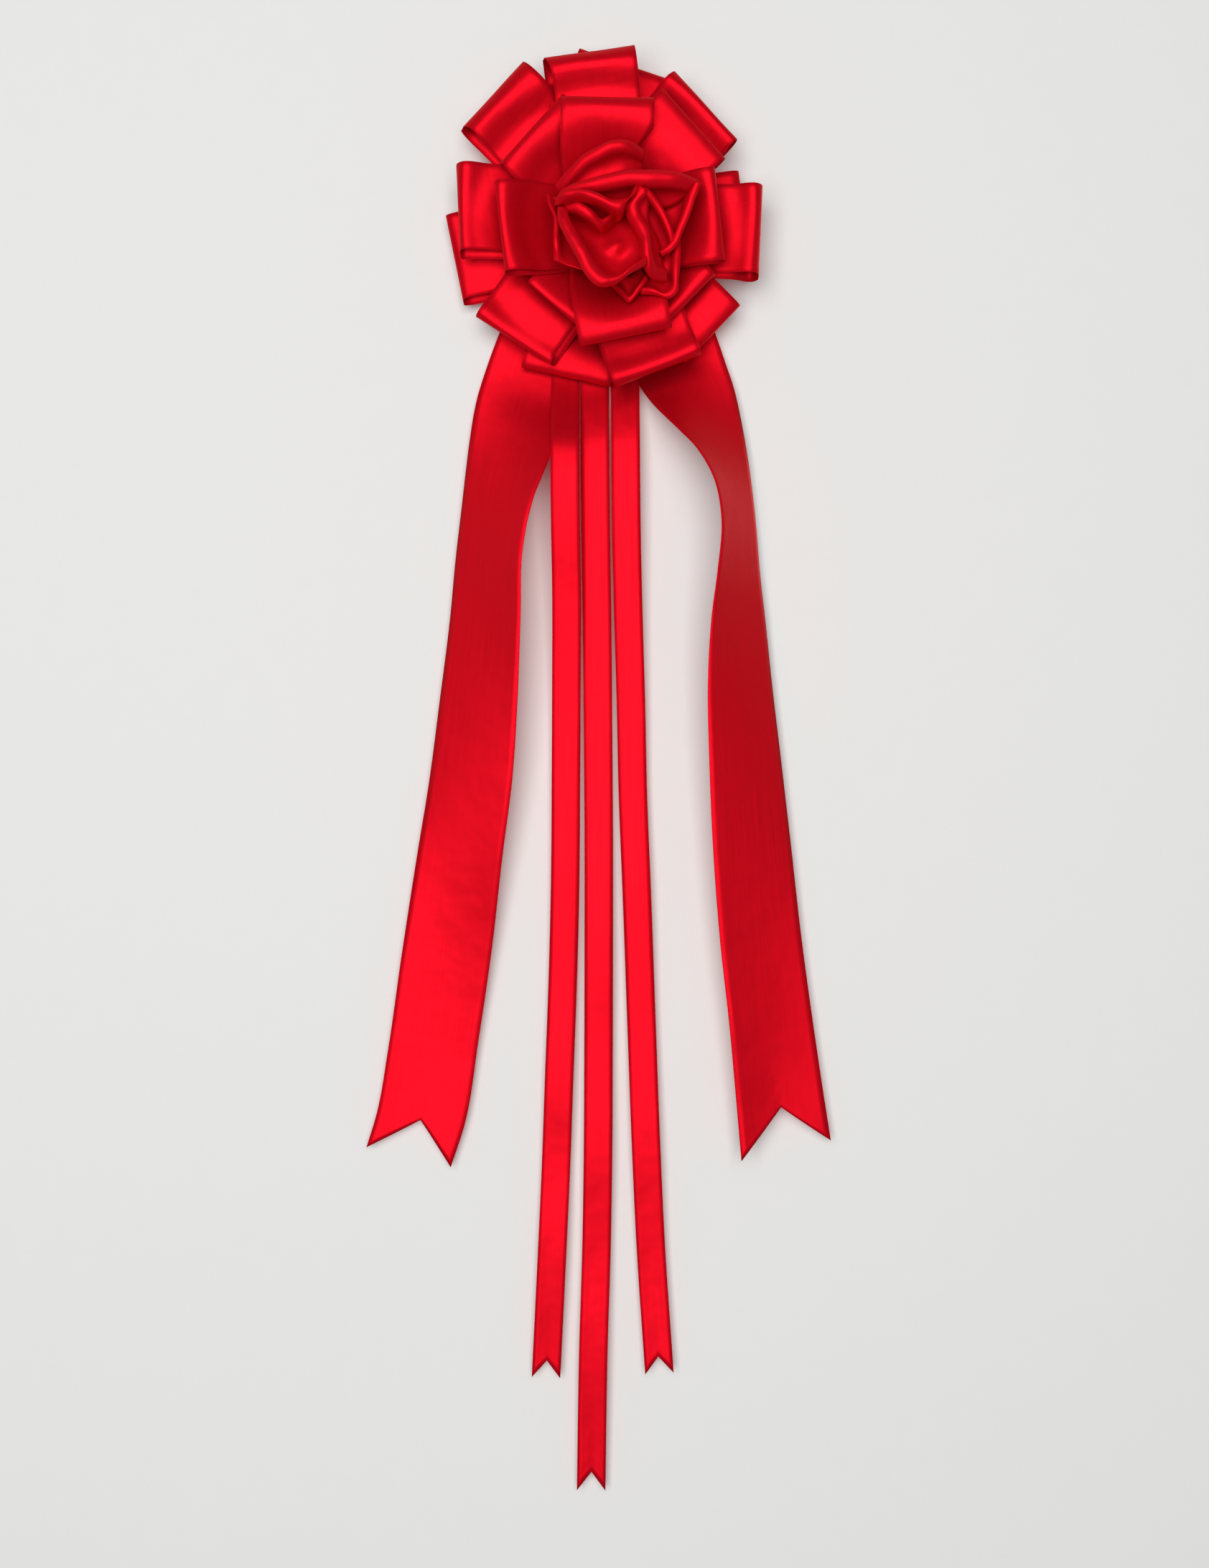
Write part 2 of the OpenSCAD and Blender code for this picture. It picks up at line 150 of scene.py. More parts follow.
def make_weave():
    tree, given, out = new_group(
        "satin_weave",
        [("Cloth Place", "NodeSocketVector", None), ("Thread", "NodeSocketFloat", 0.3),
         ("Streaks", "NodeSocketFloat", 0.12), ("Waves", "NodeSocketFloat", 1.0)],
        [("Tone", "NodeSocketFloat"), ("Height", "NodeSocketFloat"), ("Roughness", "NodeSocketFloat")])
    split = tree.nodes.new("ShaderNodeSeparateXYZ")
    tree.links.new(given.outputs["Cloth Place"], split.inputs[0])
    across = split.outputs[0]
    along = split.outputs[1]
    phase = math_node(tree, "DIVIDE", math_node(tree, "MULTIPLY", across, math.tau), given.outputs["Thread"])
    thread = math_node(tree, "SINE", phase)
    join = tree.nodes.new("ShaderNodeCombineXYZ")
    wire(tree, (math_node(tree, "MULTIPLY", across, STREAKS_ACROSS), join.inputs[0]),
         (math_node(tree, "MULTIPLY", along, STREAKS_ALONG), join.inputs[1]))
    streak = math_node(tree, "SUBTRACT", noise(tree, join.outputs[0], 1.0, 4.0), 0.5)
    wave = math_node(tree, "SUBTRACT", noise(tree, given.outputs["Cloth Place"], WAVE_SCALE, 2.0), 0.5)
    tone = math_node(tree, "ADD", 1.0, math_node(tree, "MULTIPLY", streak, given.outputs["Streaks"]))
    height = math_node(tree, "ADD", math_node(tree, "MULTIPLY", thread, THREAD_DEPTH),
                       math_node(tree, "ADD", math_node(tree, "MULTIPLY", streak, STREAK_DEPTH),
                                 math_node(tree, "MULTIPLY", wave, given.outputs["Waves"])))
    rough = math_node(tree, "ADD", SATIN_ROUGHNESS, math_node(tree, "MULTIPLY", streak, STREAK_ROUGHNESS))
    wire(tree, (tone, out.inputs["Tone"]), (height, out.inputs["Height"]),
         (rough, out.inputs["Roughness"]))
    return tree


WEAVE = make_weave()
print("group", WEAVE.name)

# %% [markdown]
# Felt, card, glue and steel need a plain uneven surface: blotches of tone and a fine grain. They share one
# group that reads Object coordinates, because these pieces aren't ribbons and have no map of their own.

# %% Node group: grain
BLOTCH_SCALE = 60.0


def make_grain():
    tree, given, out = new_group(
        "grain",
        [("Place", "NodeSocketVector", None), ("Grain Scale", "NodeSocketFloat", 800.0),
         ("Depth", "NodeSocketFloat", 0.2)],
        [("Tone", "NodeSocketFloat"), ("Height", "NodeSocketFloat")])
    fine = tree.nodes.new("ShaderNodeTexNoise")
    fine.inputs["Detail"].default_value = 5.0
    wire(tree, (given.outputs["Place"], fine.inputs["Vector"]),
         (given.outputs["Grain Scale"], fine.inputs["Scale"]))
    blotch = noise(tree, given.outputs["Place"], BLOTCH_SCALE)
    both = math_node(tree, "SUBTRACT", math_node(tree, "ADD", fine.outputs["Fac"], blotch), 1.0)
    wire(tree, (math_node(tree, "ADD", 1.0, math_node(tree, "MULTIPLY", both, given.outputs["Depth"])),
                out.inputs["Tone"]), (fine.outputs["Fac"], out.inputs["Height"]))
    return tree


GRAIN = make_grain()
print("group", GRAIN.name)

# %% [markdown]
# Each finish is a Principled shader with its own constants, and the group's outputs drive what varies. Satin
# gets part of its shine from a metallic share, because its highlights stay red, and the shine is stretched
# across the warp by anisotropy.

# %% Helpers: start and tint a finish
def start_material(name, group):
    material = bpy.data.materials.new(name)
    material.use_nodes = True
    tree = material.node_tree
    effect = tree.nodes.new("ShaderNodeGroup")
    effect.node_tree = group
    shader = tree.nodes["Principled BSDF"]
    bump = tree.nodes.new("ShaderNodeBump")
    wire(tree, (effect.outputs["Height"], bump.inputs["Height"]), (bump.outputs[0], shader.inputs["Normal"]))
    return material, tree, effect, shader, bump


def tinted(tree, tone, colour, target):
    scale = tree.nodes.new("ShaderNodeVectorMath")
    scale.operation = "SCALE"
    scale.inputs[0].default_value = colour
    wire(tree, (tone, scale.inputs["Scale"]), (scale.outputs[0], target))


print("helpers: start_material, tinted")

# %% [markdown]
# A plastic-like shader alone gives satin pale highlights, and a metallic one alone leaves it dark between
# them, so satin takes a share of each. A ribbon uses its own UV map; a swept edge or a tab has none and uses
# its place.

# %% Helpers: satin and grained finishes
METALLIC_SHARE = 0.58
STRETCHED_SHINE = 0.4
PLAIN_SHINE = 0.3
RED_SHINE = (1.0, 0.12, 0.16, 1.0)
SATIN_BUMP = 0.6
MM_PER_M = 1000


def satin(name, colour, uses_uv=True, waves=1.0):
    material, tree, weave, shader, bump = start_material(name, WEAVE)
    if uses_uv:
        place = tree.nodes.new("ShaderNodeUVMap")
        place.uv_map = "cloth"
        source = place.outputs[0]
        tangent = tree.nodes.new("ShaderNodeTangent")
        tangent.direction_type = "UV_MAP"
        tangent.uv_map = "cloth"
        tree.links.new(tangent.outputs[0], shader.inputs["Tangent"])
        shader.inputs["Anisotropic"].default_value = STRETCHED_SHINE
    else:
        coordinates = tree.nodes.new("ShaderNodeTexCoord")
        scaled = tree.nodes.new("ShaderNodeMapping")
        scaled.inputs["Scale"].default_value = (MM_PER_M, MM_PER_M, MM_PER_M)
        tree.links.new(coordinates.outputs["Object"], scaled.inputs["Vector"])
        source = scaled.outputs[0]
    tree.links.new(source, weave.inputs["Cloth Place"])
    weave.inputs["Waves"].default_value = waves
    tinted(tree, weave.outputs["Tone"], colour, shader.inputs["Base Color"])
    tree.links.new(weave.outputs["Roughness"], shader.inputs["Roughness"])
    shader.inputs["Metallic"].default_value = METALLIC_SHARE
    shader.inputs["Specular IOR Level"].default_value = PLAIN_SHINE
    shader.inputs["Specular Tint"].default_value = RED_SHINE
    bump.inputs["Distance"].default_value = MM
    bump.inputs["Strength"].default_value = SATIN_BUMP
    return material


def grained(name, colour, scale, depth, rough, metallic=0.0, bump_depth=0.0002):
    material, tree, grain, shader, bump = start_material(name, GRAIN)
    coordinates = tree.nodes.new("ShaderNodeTexCoord")
    tree.links.new(coordinates.outputs["Object"], grain.inputs["Place"])
    grain.inputs["Grain Scale"].default_value = scale
    grain.inputs["Depth"].default_value = depth
    tinted(tree, grain.outputs["Tone"], colour, shader.inputs["Base Color"])
    shader.inputs["Roughness"].default_value = rough
    shader.inputs["Metallic"].default_value = metallic
    bump.inputs["Distance"].default_value = bump_depth
    return material


print("helpers: satin, grained")

# %% [markdown]
# The selvedge is a shade darker than the ribbon, so that its line stays fine. The felt, the card and the glue
# aren't seen from the front, so their colours are a plain guess for such a bow.

# %% The finishes
SATIN_RED = (0.52, 0.002, 0.009)
SELVEDGE_RED = (0.44, 0.002, 0.008)
ribbon_satin = satin("ribbon_satin", SATIN_RED)
selvedge_satin = satin("selvedge_satin", SELVEDGE_RED, uses_uv=False, waves=0.0)
tab_satin = satin("tab_satin", SATIN_RED, uses_uv=False, waves=0.0)
felt = grained("red_felt", (0.36, 0.01, 0.016), 900.0, 0.5, 0.95)
card = grained("backing_board", (0.62, 0.54, 0.42), 500.0, 0.2, 0.85)
glue = grained("hot_glue", (0.78, 0.7, 0.5), 200.0, 0.1, 0.35)
steel = grained("hanger_steel", (0.6, 0.6, 0.6), 1500.0, 0.15, 0.3, metallic=1.0, bump_depth=0.00003)
print("finishes:", [m.name for m in (ribbon_satin, selvedge_satin, tab_satin, felt, card, glue, steel)])

# %% [markdown]
# A ribbon is a grid of points, rows along it and columns across it. This helper turns such a grid into a mesh
# with a UV map in millimetres, and a Solidify modifier gives the cloth its thickness. The places of the
# points come from rules and not from a cloth simulation, because glue and stiffness hold the loops, and the
# tails only hang.

# %% Helper: grid to ribbon
def lengths_along(grid, closed):
    middle = grid[:, grid.shape[1] // 2]
    if closed:
        middle = np.vstack([middle, middle[:1]])
    return np.concatenate([[0], np.cumsum(np.linalg.norm(np.diff(middle, axis=0), axis=1))])


def ribbon(name, grid, width, closed=False):
    rows, cols = grid.shape[:2]
    along = lengths_along(grid, closed)
    faces = []
    places = []
    for i in range(rows if closed else rows - 1):
        for j in range(cols - 1):
            after = (i + 1) % rows
            faces.append((i * cols + j, after * cols + j, after * cols + j + 1, i * cols + j + 1))
            left = width * j / (cols - 1)
            right = width * (j + 1) / (cols - 1)
            places += [(left, along[i]), (left, along[i + 1]), (right, along[i + 1]), (right, along[i])]
    mesh = bpy.data.meshes.new(name)
    mesh.from_pydata(to_space(grid).reshape(-1, 3).tolist(), [], faces)
    layer = mesh.uv_layers.new(name="cloth")
    layer.data.foreach_set("uv", np.array(places, dtype=np.float32).ravel())
    mesh.polygons.foreach_set("use_smooth", [True] * len(faces))
    mesh.materials.append(ribbon_satin)
    piece = bpy.data.objects.new(name, mesh)
    bpy.context.scene.collection.objects.link(piece)
    cloth = piece.modifiers.new("cloth", "SOLIDIFY")
    cloth.thickness = CLOTH * MM
    cloth.offset = 0.0
    return piece, along[-1]


print("helper: ribbon, with cloth", CLOTH, "mm thick")

# %% [markdown]
# A woven ribbon ends each side in a selvedge, a slightly thicker cord of threads that catches the light as a
# fine line. Geometry Nodes sweep a small round profile along both edges of every ribbon. A bevelled edge in
# the ribbon's own mesh would need many more faces, all along it, for the same line.

# %% Helpers: build and run a Geometry Nodes tree
def geometry_tree(name, inputs):
    tree = bpy.data.node_groups.new(name, "GeometryNodeTree")
    tree.interface.new_socket("Geometry", in_out="INPUT", socket_type="NodeSocketGeometry")
    for label, kind in inputs:
        tree.interface.new_socket(label, in_out="INPUT", socket_type=kind)
    tree.interface.new_socket("Geometry", in_out="OUTPUT", socket_type="NodeSocketGeometry")
    return tree, tree.nodes.new("NodeGroupInput"), tree.nodes.new("NodeGroupOutput")


def finish_tree(tree, given, out, geometry):
    """Ends a tree the way the export needs: real geometry with its own finish."""
    real = tree.nodes.new("GeometryNodeRealizeInstances")
    dress = tree.nodes.new("GeometryNodeSetMaterial")
    wire(tree, (geometry, real.inputs[0]), (real.outputs[0], dress.inputs["Geometry"]),
         (given.outputs["Finish"], dress.inputs["Material"]), (dress.outputs[0], out.inputs[0]))


def grow(tree, name, base_mesh, values):
    """Runs a Geometry Nodes tree on a mesh and keeps the result as a plain piece."""
    base = bpy.data.objects.new(name + "_base", base_mesh)
    bpy.context.scene.collection.objects.link(base)
    modifier = base.modifiers.new("grow", "NODES")
    modifier.node_group = tree
    for item in tree.interface.items_tree:
        if item.in_out == "INPUT" and item.name in values:
            modifier[item.identifier] = values[item.name]
    result = bpy.data.meshes.new_from_object(base.evaluated_get(bpy.context.evaluated_depsgraph_get()))
    bpy.data.objects.remove(base)
    piece = bpy.data.objects.new(name, result)
    bpy.context.scene.collection.objects.link(piece)
    return piece


print("helpers: geometry_tree, finish_tree, grow")

# %% [markdown]
# The tree takes the ribbon's two edges as loose lines, makes curves of them and sweeps the profile along.
# Its radius, sides and finish are inputs with names, so the same tree would suit another ribbon.

# %% Geometry Nodes: selvedge
SELVEDGE_SIDES = 6


def make_selvedge_tree():
    tree, given, out = geometry_tree(
        "selvedge", [("Radius", "NodeSocketFloat"), ("Sides", "NodeSocketInt"),
                     ("Finish", "NodeSocketMaterial")])
    path = tree.nodes.new("GeometryNodeMeshToCurve")
    profile = tree.nodes.new("GeometryNodeCurvePrimitiveCircle")
    sweep = tree.nodes.new("GeometryNodeCurveToMesh")
    sweep.inputs["Fill Caps"].default_value = True
    smooth = tree.nodes.new("GeometryNodeSetShadeSmooth")
    wire(tree, (given.outputs["Geometry"], path.inputs[0]),
         (given.outputs["Radius"], profile.inputs["Radius"]),
         (given.outputs["Sides"], profile.inputs["Resolution"]), (path.outputs[0], sweep.inputs["Curve"]),
         (profile.outputs[0], sweep.inputs["Profile Curve"]), (sweep.outputs[0], smooth.inputs[0]))
    finish_tree(tree, given, out, smooth.outputs[0])
    return tree


SELVEDGE_TREE = make_selvedge_tree()


def selvedge(name, grid, closed=False):
    rows, cols = grid.shape[:2]
    points = np.concatenate([grid[:, 0], grid[:, -1]])
    edges = []
    for start in (0, rows):
        edges += [(start + i, start + i + 1) for i in range(rows - 1)]
        if closed:
            edges.append((start + rows - 1, start))
    mesh = bpy.data.meshes.new(name + "_path")
    mesh.from_pydata(to_space(points).tolist(), edges, [])
    piece = grow(SELVEDGE_TREE, name, mesh,
                 {"Radius": SELVEDGE * MM, "Sides": SELVEDGE_SIDES, "Finish": selvedge_satin})
    return piece


print("tree", SELVEDGE_TREE.name)

# %% [markdown]
# The ten bands are closed rings of wide ribbon, pinched flat in the middle where the glue holds them. Their
# shape follows a rule: each loop runs out along a gently bent line, rises from the stack to the height of its
# level, and turns round a soft fold. The rule is written once and every band is a row in a table. Each level
# holds two crossing bands, and LEVELS gives its lowest and highest place and how far out its loops open.

# %% The stack's levels and bands
STACK = 5.6
PITCH = 1.7
PINCHED = 1.1
FLAT_R = 14
FULL_R = 60
OPENING = 20
CROSS_GAP = 0.9
LEVELS = [(5.6, 12.6, 52), (13.6, 20.6, 46), (21.6, 28.6, 52), (29.6, 36.6, 43), (37.6, 47, 43)]
# name, level, place in its pair, then for each loop: fold middle, direction in degrees, rounding, and how far
# it bulges in front and behind
BANDS = [
    ("band_rear_upright", 0, 0, ((9, 93.5), 71, 6, 0, 0), ((-22.5, -80), 257.5, 6, 0, 0)),
    ("band_rear_level", 0, 1, ((-84, -15.5), 191.5, 6, 0, 0), ((76.5, 9), 8, 6, 0, 0)),
    ("band_outer_falling", 1, 0, ((-63, 71.5), 137.5, 10, 8, 0), ((56, -60.5), 316.5, 8, 0, 0)),
    ("band_outer_rising", 1, 1, ((54.5, 66), 42.5, 10, 9, 0), ((-50.5, -62.5), 237.5, 9, 6, 0)),
    ("band_middle_level", 2, 0, ((-81, 7), 182.5, 12, 8, 7), ((84, -4.5), 357.5, 12, 8, 7)),
    ("band_middle_upright", 2, 1, ((-10, 93.5), 98, 12, 8, 5), ((28, -80.5), 291, 10, 7, 0)),
    ("band_inner_falling", 3, 0, ((-41, 50), 138, 7, 0, 0), ((41.5, -47), 316, 7, 0, 0)),
    ("band_inner_rising", 3, 1, ((47.5, 52.5), 41.5, 7, 0, 0), ((-24, -50), 228.5, 7, 0, 0)),
    ("band_front_level", 4, 0, ((-57.5, -6.5), 186.5, 9, 0, 0), ((61, 1), 6.5, 9, 0, 0)),
    ("band_front_upright", 4, 1, ((0.5, 64), 89, 9, 0, 0), ((10.5, -65), 282, 9, 0, 0)),
]
print("bands:", len(BANDS))

# %% [markdown]
# Ribbon never lies quite square. In some loops one edge of a layer is drawn in, so that the layer behind it
# shows and the loop reads as open. Each row below draws in one edge over a part of one loop's length.

# %% Edges that are drawn in
# band, loop, side across (1 or -1), face (1 front, -1 back, 0 both), from and to in mm from the centre, share
DRAWN_EDGES = [
    ("band_front_upright", 0, -1, 0, 0, 34, 0.42), ("band_middle_upright", 0, 1, 1, 52, 82, 0.16),
    ("band_middle_level", 0, 1, 1, 50, 78, 0.15), ("band_rear_level", 0, 1, 1, 55, 80, 0.13),
    ("band_outer_rising", 1, -1, 1, 45, 72, 0.13), ("band_outer_falling", 0, 1, 1, 60, 88, 0.13),
    ("band_front_level", 0, 1, 1, 30, 54, 0.07), ("band_middle_level", 1, 1, 1, 55, 80, 0.08),
    ("band_outer_falling", 1, 1, 0, 62, 84, 0.27), ("band_inner_falling", 1, 1, 0, 44, 66, 0.27)]
EASE = 16


def drawn_in_share(band, loop, face, across_mm, s):
    """How much of its width this side of the loop keeps at a distance s from the centre."""
    keep = 1.0
    for name, index, side, on_face, start, end, share in DRAWN_EDGES:
        hit = name == band[0] and band[3 + index] is loop and across_mm * side > 0 and on_face in (0, face)
        if hit:
            swell = ramp(s, start - EASE, start) * (1 - ramp(s, end, end + EASE))
            keep -= share * float(swell) * abs(across_mm) / (WIDE / 2)
    return keep


print("drawn edges:", len(DRAWN_EDGES))

# %% [markdown]
# The rule gives one point of a loop from its row k and its place across. Rows up to LOOP_ROWS run out from
# the centre in even steps, and the last FOLD_ROWS go a quarter of the way round the fold. Apart from the
# edges that are drawn in, a loop's front and back share one plan and differ only in depth, so they meet at
# the fold.

# %% Loop rule
LOOP_ROWS = 22
FOLD_ROWS = 8
BAND_COLS = 15
BULGE_BEHIND = (74, 86)
BULGE_FRONT = (70, 88)
GATHER_OVER = (5, 40)
SOFT_DEPTH = 0.4
SOFT_FROM = (25, 55)
SOFT_ACROSS = 0.13
SOFT_UP = 0.11


def band_heights(level, pair, r, extra_front, extra_behind):
    low, high, open_r = LEVELS[level]
    middle = (low + high) / 2
    root = STACK + (2 * level + pair) * PITCH
    rise = ramp(r, FLAT_R, FULL_R)
    opened = ramp(r, open_r, open_r + OPENING)
    back = mix(mix(root, low + pair * (middle + CROSS_GAP - low), rise), low, pair * opened)
    front = mix(mix(root + PINCHED, high + (1 - pair) * (middle - CROSS_GAP - high), rise), high,
                (1 - pair) * opened)
    return back - extra_behind * ramp(r, *BULGE_BEHIND), front + extra_front * ramp(r, *BULGE_FRONT)


def loop_point(band, loop, turn, k, across_mm, face):
    middle, direction, rounding, extra_front, extra_behind = loop
    middle = np.array(middle, float)
    reach = np.linalg.norm(middle)
    straight = reach - rounding
    round_in = rounding - WALL_INSET
    angle = math.pi / 2 * max(0, k - LOOP_ROWS) / FOLD_ROWS
    s = straight * min(k, LOOP_ROWS) / LOOP_ROWS + round_in * math.sin(angle)
    part = s / reach
    way = np.array([math.cos(math.radians(direction)), math.sin(math.radians(direction))])
    axis = unit(np.array(band[3][0], float) - np.array(band[4][0], float))
    line = 2 * part * (1 - part) * (middle - way * reach / 2) + part * part * middle
    across = unit(mix(side_of(axis), turn * side_of(way), part))
    kept = mix(GATHERED, 1.0, float(ramp(s, *GATHER_OVER))) * drawn_in_share(band, loop, face, across_mm, s)
    plan = line + across * across_mm * kept
    r = float(np.linalg.norm(plan))
    back, front = band_heights(band[1], band[2], r, extra_front, extra_behind)
    waves = math.sin(plan[0] * SOFT_ACROSS + band[1]) * math.sin(plan[1] * SOFT_UP)
    soft = SOFT_DEPTH * ramp(r, *SOFT_FROM) * waves
    depth = (front - back) / 2 - WALL_INSET
    return [plan[0], plan[1], (back + front) / 2 + face * depth * math.cos(angle) + soft]


def band_grid(band):
    count = LOOP_ROWS + FOLD_ROWS
    first, second = band[3], band[4]
    path = [(first, 1, k, 1) for k in range(count, -1, -1)]
    path += [(second, -1, k, 1) for k in range(1, count + 1)]
    path += [(second, -1, k, -1) for k in range(count - 1, -1, -1)]
    path += [(first, 1, k, -1) for k in range(1, count)]
    offsets = np.linspace(-WIDE / 2, WIDE / 2, BAND_COLS)
    return np.array([[loop_point(band, loop, turn, k, w, face) for w in offsets]
                     for loop, turn, k, face in path])


print("rows in a band:", 4 * (LOOP_ROWS + FOLD_ROWS))

# %% [markdown]
# Every band is made from its row in the table. The printed length is the ribbon that the band takes, and the
# flat size is that length rounded to a centimetre.

# %% Make the bands
for band in BANDS:
    grid = band_grid(band)
    piece, length = ribbon(band[0] + "_ribbon", grid, WIDE, closed=True)
    edge = selvedge(band[0] + "_selvedge", grid, closed=True)
    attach(piece, "head")
    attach(edge, "head")
    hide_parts(band[0])
    print(band[0], "ribbon", round(length), "mm long")

# %% [markdown]
# A tail starts glued under the stack, bends out from behind the bands and hangs down the wall. Its edges are
# given by a few stations, and a smooth curve runs through them. The end is cut to a swallowtail, which is
# made by letting each column of the grid stop at its own place.

# %% Helper: smooth curve through stations
def smooth_line(stations, places):
    """Points at places 0 to 1 of a curve that passes through every station, with even speed between them."""
    stations = np.array(stations, float)
    knots = np.concatenate([[0], np.cumsum(np.linalg.norm(np.diff(stations, axis=0), axis=1))])
    slopes = np.gradient(stations, knots, axis=0)
    at = np.clip(np.asarray(places, float), 0, 1) * knots[-1]
    i = np.clip(np.searchsorted(knots, at, side="right") - 1, 0, len(knots) - 2)
    gap = (knots[i + 1] - knots[i])[:, None]
    t = ((at - knots[i])[:, None]) / gap
    a, b, ma, mb = stations[i], stations[i + 1], slopes[i] * gap, slopes[i + 1] * gap
    return ((2 * t**3 - 3 * t**2 + 1) * a + (t**3 - 2 * t**2 + t) * ma
            + (3 * t**2 - 2 * t**3) * b + (t**3 - t**2) * mb)


print("helper: smooth_line")

# %% [markdown]
# The two edges of a tail are curves, and the columns between them are a mix of the two. From CUT_FROM on,
# each column is shortened so that it stops on the cut. A slight bow across the width, which comes and goes
# along the tail, keeps the cloth from looking like a flat board.

# %% Helper: grid of a tail
TAIL_ROWS = 150
CUT_FROM = 0.9
BOW_FROM = (0.25, 0.45)
BOW_RADIANS = 11


def tail_grid(left, right, cols, cut, bow):
    columns = []
    rows = np.linspace(0, 1, TAIL_ROWS)
    for u in np.linspace(0, 1, cols):
        end = 1 - cut * (1 - abs(2 * u - 1))
        near_cut = CUT_FROM + (rows - CUT_FROM) / (1 - CUT_FROM) * (end - CUT_FROM)
        places = np.where(rows < CUT_FROM, rows, near_cut)
        line = mix(smooth_line(left, places), smooth_line(right, places), u)
        line[:, 2] += bow * (1 - (2 * u - 1)**2) * ramp(places, *BOW_FROM) * np.cos(places * BOW_RADIANS)
        columns.append(line)
    return np.stack(columns, 1)


print("tail grids have", TAIL_ROWS, "rows")

# %% [markdown]
# A wide tail turns as it comes out from behind the bow: its outer edge stays by the wall and its inner edge
# swings far out before it settles. Each list runs from the glued root to the tip.

# %% Stations of the two wide tails
WIDE_LEFT_OUTER = [
    (-38, -8, 3.4), (-56, -46, 3.4), (-66, -72, 3.5), (-72, -92, 5), (-76, -116, 6.5), (-77.6, -129, 7),
    (-80, -150, 7), (-83.5, -180, 7), (-86.5, -212, 7), (-92.5, -260, 7), (-98, -302, 7), (-105, -345, 7),
    (-113.5, -400, 7), (-121, -452, 6.5), (-127.5, -488, 6), (-133, -506, 6)]
WIDE_LEFT_INNER = [
    (8, -28, 3.4), (-9, -64, 3.4), (-18, -84, 3.6), (-23, -98, 7.5), (-28, -117, 21), (-32.4, -131, 29),
    (-39.5, -150, 36), (-45.5, -180, 39.5), (-46.5, -212, 37), (-48.5, -260, 31), (-51.5, -302, 26),
    (-57, -343, 20), (-63.5, -396, 11), (-71, -446, 6.5), (-79, -494, 6), (-86.5, -517, 6)]
WIDE_RIGHT_OUTER = [
    (38, -8, 4.2), (56, -44, 4.2), (62, -60, 4.6), (66, -72, 5.2), (70, -84, 6), (74.5, -104, 6.5),
    (78, -124, 7), (80.5, -142, 7), (82.5, -160, 7), (85, -190, 7), (87.5, -212, 7), (91.5, -250, 7),
    (96.5, -292, 7), (101.5, -335, 7), (108, -392, 7), (114, -436, 7), (119, -470, 7), (124, -502, 7)]
WIDE_RIGHT_INNER = [
    (-8, -28, 4.2), (11, -66, 4.2), (18, -83, 4.4), (22, -91, 13), (27.5, -100, 25), (38, -113, 39),
    (48.5, -125.5, 47), (57.5, -143, 51.5), (61, -162, 52), (59, -192, 50), (56.5, -212, 46.5),
    (54.5, -250, 40.5), (55.5, -292, 35.5), (57.5, -335, 31), (62, -392, 26.5), (67, -436, 24),
    (71, -478, 20), (74, -511.5, 18)]
print("wide stations:", len(WIDE_LEFT_OUTER), len(WIDE_RIGHT_OUTER))

# %% [markdown]
# A narrow tail barely turns, so a line along its middle is enough. Its edges lie half a width to either side,
# and a small wave in depth lets the light run along it.

# %% Middle lines of the three narrow tails
NARROW_LINES = {
    "narrow_tail_left": [
        (-22.7, -14, 5), (-22.7, -60, 5), (-22.7, -80, 5), (-22.7, -92, 10.5), (-22.7, -105, 18.5),
        (-22.7, -118, 26), (-22.7, -130, 28), (-22.5, -160, 26), (-22, -200, 18.5), (-22.2, -250, 11.5),
        (-22.5, -300, 8), (-23, -360, 7), (-24.4, -416, 6), (-26.4, -470, 7.5), (-28, -515, 6),
        (-30, -560, 7.5), (-33.6, -633.5, 6)],
    "narrow_tail_middle": [
        (-6.6, -14, 5), (-6.6, -60, 5), (-6.6, -85, 5), (-6.6, -97, 9), (-6.5, -113, 13.5), (-6.4, -130, 15),
        (-6, -165, 13.5), (-5.2, -220, 9.5), (-4.8, -270, 7), (-4.4, -330, 6), (-4.4, -400, 7.5),
        (-4.5, -450, 6), (-4.8, -510, 7.5), (-5.6, -560, 6), (-7.4, -620, 7.5), (-8.6, -696, 6)],
    "narrow_tail_right": [
        (10.3, -14, 5), (10.3, -60, 5), (10.3, -86, 5), (10.3, -98, 8.5), (10.4, -113, 12), (10.5, -130, 13),
        (10.9, -165, 12), (11.8, -205, 9.5), (13.4, -259, 7), (14.6, -313, 6), (16.6, -363, 7),
        (19.2, -434, 6), (21.8, -505, 7.5), (24.4, -560, 6), (29.2, -631, 7)]}


def narrow_edges(line):
    line = np.array(line, float)
    along = np.gradient(line, axis=0)
    across = np.stack([-along[:, 1], along[:, 0]], 1)
    across = across / np.linalg.norm(across, axis=1)[:, None] * NARROW / 2
    left = line.copy()
    right = line.copy()
    left[:, :2] -= across
    right[:, :2] += across
    return left, right


print("narrow lines:", list(NARROW_LINES))

# %% [markdown]
# A tail lifts about a line just below the bow. The cloth doesn't break there, so each tail is made as one
# piece from its glued root to its tip. Two rigid pieces would be simpler, but they would show a gap or a step
# on the line.


def hang(name, left, right, width, cols, cut, bow, length):
    grid = tail_grid(left, right, cols, cut, bow)
    piece, measured = ribbon(name + "_ribbon", grid, width)
    edge = selvedge(name + "_selvedge", grid)
    for part in (piece, edge):
        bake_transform(part)
    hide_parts(name, name + "_root")
    print(name, "cut", length, "mm, middle measures", round(measured), "mm")


